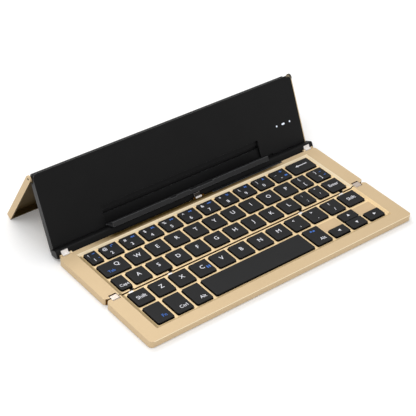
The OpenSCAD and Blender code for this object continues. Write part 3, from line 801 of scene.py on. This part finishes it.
# One sign for each key of the number row, from the left
SIGNS = [
    DASH,
    [bar(0, 0.6, 1.8, 0.4), bar(-0.7, 0, 0.4, 1.4)],
    [arrow_head(-0.4, 0, 0.8, 180), arrow_head(0.8, 0, 0.8, 180)],
    [arrow_head(0, 0, 0.9, 0), bar(1.0, 0, 0.35, 1.5)],
    [arrow_head(-0.5, 0, 0.8, 0), arrow_head(0.7, 0, 0.8, 0)],
    [bar(-0.8, 0, 0.6, 0.8), arrow_head(0.2, 0, 0.9, 180)],
    [bar(-0.8, 0, 0.6, 0.8), arrow_head(0.2, 0, 0.9, 180), bar(1.2, 0, 0.9, 0.35)],
    [bar(0, 0.5, 1.8, 0.4), bar(0, -0.3, 1.2, 0.4)],
    TWO_BARS,
    [arrow_head(0, 0, 1.0, 90)],
    [bar(0, 0, 1.9, 0.4), bar(0, 0, 0.4, 1.6)],
]

# %% Letters
LETTER_HEIGHT, TAB_HEIGHT = 3.8, 2.7


def draw_letter(letter):
    def draw(shape, keys):
        key = keys[0]
        if letter == "Q":
            add_word(shape, "Q", spot(key, across=0.66, along=0.64), LETTER_HEIGHT)
            add_word(shape, "Tab", spot(key, across=0.30, along=0.28), TAB_HEIGHT, BLUE)
            return
        add_word(shape, letter, spot(key, across=0.5, along=0.55), LETTER_HEIGHT)
        if letter == "C":
            add_sign(shape, key, TWO_BARS, across=0.8, along=0.4, scale=2.0)

    return draw


for letter in "QWERTYUIOPASDFGHJKLZXCVBNM":
    legend_piece("key_" + letter.lower(), draw_letter(letter))

# %% Numbers
PLAIN_HEIGHT, SHIFTED_HEIGHT = 3.2, 2.8
PLAIN_ALONG, SHIFTED_ALONG = 0.26, 0.75
PAIR_BOLD = 0.03
NUMBER_ROW = ["1!", "2@", "3#", "4$", "5%", "6^", "7&", "8*", "9(", "0)", "-_"]


def add_pair(shape, key, plain, shifted, plain_across, shifted_across):
    """Two characters: the shifted one near the back of the key, the plain one near its front."""
    back = spot(key, shifted_across, SHIFTED_ALONG)
    front = spot(key, plain_across, PLAIN_ALONG)
    add_word(shape, shifted, back, SHIFTED_HEIGHT, bold=PAIR_BOLD)
    add_word(shape, plain, front, PLAIN_HEIGHT, bold=PAIR_BOLD)


def draw_numbers(shape, keys):
    for key, (plain, shifted), sign in zip(keys, NUMBER_ROW, SIGNS):
        add_pair(shape, key, plain, shifted, plain_across=0.40, shifted_across=0.22)
        add_sign(shape, key, sign, across=0.70, along=0.78, scale=1.4)
    add_sign(shape, keys[0], DASH, across=0.82, along=0.3, scale=0.8)
    add_sign(shape, keys[len(SIGNS) - 1], [bar(0, 0, 2.4, 1.5)], across=0.77, along=0.3)
    backspace = spot(keys[-1], across=0.54, along=0.57)
    add_slab(shape, bar(0.8, 0, 9.6, 0.7), backspace)
    add_slab(shape, arrow_head(-4.2, 0, 1.6, 180), backspace)


legend_piece("number_row_keys", draw_numbers)

# %% Side keys
MIDDLE_SIDE = ["[{", "]}", "Caps", ";:", "'\"", "Enter"]
FRONT_SIDE = ["Shift", ",<", ".>", "/?", "Shift", "Fn", "Ctrl", "Alt", "Alt"]
# Share of the width, share of the depth and height of the capitals, for each word
WORD_PLACES = {
    "Caps": (0.52, 0.28, 2.7),
    "Enter": (0.5, 0.55, 3.1),
    "Shift": (0.5, 0.5, 3.3),
    "Fn": (0.62, 0.25, 3.0),
    "Ctrl": (0.6, 0.25, 3.0),
    "Alt": (0.6, 0.25, 3.0),
}


def draw_words(shape, keys, words):
    """Prints a word on each key, or the two characters of a pair."""
    for key, word in zip(keys, words):
        if word in WORD_PLACES:
            across, along, height = WORD_PLACES[word]
            colour = BLUE if word == "Fn" else WHITE
            add_word(shape, word, spot(key, across, along), height, colour)
        else:
            add_pair(shape, key, *word, plain_across=0.45, shifted_across=0.42)


def draw_middle_side(shape, keys):
    draw_words(shape, keys, MIDDLE_SIDE)
    line = bar(0, 0, 2.2, 0.35)
    add_sign(shape, keys[1], [line], across=0.72, along=0.66)
    add_sign(shape, keys[1], [line, bar(0.9, 0.6, 0.35, 1.2)], across=0.76, along=0.28)


def draw_front_side(shape, keys):
    draw_words(shape, keys, FRONT_SIDE)
    blocks = [bar(-1.3, 0.2, 1.6, 1.4), bar(1.1, -0.2, 1.8, 1.4)]
    add_sign(shape, keys[-1], blocks, across=0.5, along=0.8)


legend_piece("middle_side_keys", draw_middle_side)
legend_piece("front_side_keys", draw_front_side)


# %% Arrows
def draw_arrows(shape, keys):
    """Left, down, up and right: the columns go from the left, and down lies in front of up."""
    by_column = sorted(keys, key=lambda key: (round(key[0] / MM), key[2]))
    for key, turn in zip(by_column, (180, 270, 90, 0)):
        add_slab(shape, arrow_head(0, 0, 1.5, turn), spot(key, across=0.5, along=0.5))


legend_piece("arrow_keys", draw_arrows)

# %% [markdown]
# ## Camera, floor and light
# The camera stands in front of the keyboard and well to its left and looks down at it, far away with
# a long lens, so that lines stay almost parallel. The floor and the background are white to the
# camera, while the object is lit at a plain level: a Light Path node tells the two apart. One soft
# lamp stands high on the left. A larger one stands high behind the keyboard, where it lights what
# looks up or back and leaves the front of each step a little darker.

# %% Camera
bpy.context.scene.view_settings.view_transform = "Standard"
AZIMUTH, ELEVATION, ROLL = (math.radians(v) for v in (-40.65, 36.74, 3.34))
TARGET = Vector((1.04, 13.28, 5.2)) * MM
DISTANCE = 990.6 * MM
LENS, SENSOR = 115.32, 36
back = Vector((
    math.sin(AZIMUTH) * math.cos(ELEVATION),
    -math.cos(AZIMUTH) * math.cos(ELEVATION),
    math.sin(ELEVATION),
))
level = Vector((math.cos(AZIMUTH), math.sin(AZIMUTH), 0))
upright = back.cross(level)
right = level * math.cos(ROLL) + upright * math.sin(ROLL)
up = upright * math.cos(ROLL) - level * math.sin(ROLL)
camera = bpy.data.objects.new("camera", bpy.data.cameras.new("camera"))
bpy.context.scene.collection.objects.link(camera)
camera.data.lens = LENS
camera.data.sensor_width = SENSOR
camera.data.clip_start = 50 * MM
turn = Matrix((right, up, back)).transposed().to_4x4()
camera.matrix_world = Matrix.Translation(TARGET + back * DISTANCE) @ turn
bpy.context.scene.camera = camera
print("camera at", camera.matrix_world.translation)

# %% Floor
FLOOR_HALF = 6.0
floor_z = min(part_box(name)[0].z for name in ("middle_feet", "front_feet", "support_flap"))


def floor_finish():
    """Pale paper that glows a little to the camera and in reflections, and takes the shadow."""
    f = Finish("floor_white")
    seen, mirrored = f.outputs("ShaderNodeLightPath", "Is Camera Ray", "Is Glossy Ray")
    paper = f.node("ShaderNodeBsdfDiffuse", Color=(0.9, 0.9, 0.9, 1))
    glow = f.node("ShaderNodeEmission", Color=(1, 1, 1, 1), Strength=0.14 * (seen + mirrored))
    return f.output(f.node("ShaderNodeAddShader", placed=((0, paper), (1, glow))))


shape = bmesh.new()
bmesh.ops.create_grid(shape, x_segments=1, y_segments=1, size=FLOOR_HALF)
bmesh.ops.translate(shape, vec=(0, 0, floor_z), verts=shape.verts)
floor_mesh = bpy.data.meshes.new("floor")
shape.to_mesh(floor_mesh)
shape.free()
floor = bpy.data.objects.new("floor", floor_mesh)
bpy.context.scene.collection.objects.link(floor)
floor_mesh.materials.append(floor_finish())
print("floor at", floor_z)

# %% World
world = bpy.data.worlds.new("studio")
bpy.context.scene.world = world
world.use_nodes = True
sky = Network(world.node_tree)
seen, through = sky.outputs("ShaderNodeLightPath", "Is Camera Ray", "Is Transmission Ray")
shine = sky.node("ShaderNodeBackground", Color=(1, 1, 1, 1), Strength=0.72)
white = sky.node("ShaderNodeBackground", Color=(1, 1, 1, 1), Strength=1.0)
placed = ((0, seen.larger(through)), (1, shine), (2, white))
sky.end("ShaderNodeOutputWorld", sky.node("ShaderNodeMixShader", placed=placed))


# %% Lamps
def soft_box(name, place, width, height, power):
    """A rectangular lamp that looks at the origin, on the middle panel."""
    lamp = bpy.data.lights.new(name, "AREA")
    lamp.shape = "RECTANGLE"
    lamp.size = width
    lamp.size_y = height
    lamp.energy = power
    holder = bpy.data.objects.new(name, lamp)
    bpy.context.scene.collection.objects.link(holder)
    holder.location = place
    holder.rotation_euler = Vector(place).to_track_quat("Z", "Y").to_euler()


soft_box("key_box", place=(-0.42, -0.14, 0.92), width=0.4, height=0.4, power=2.1)
soft_box("top_box", place=(0.15, 0.7, 1.0), width=0.7, height=0.5, power=4.0)
print("lamps", len(bpy.data.lights))
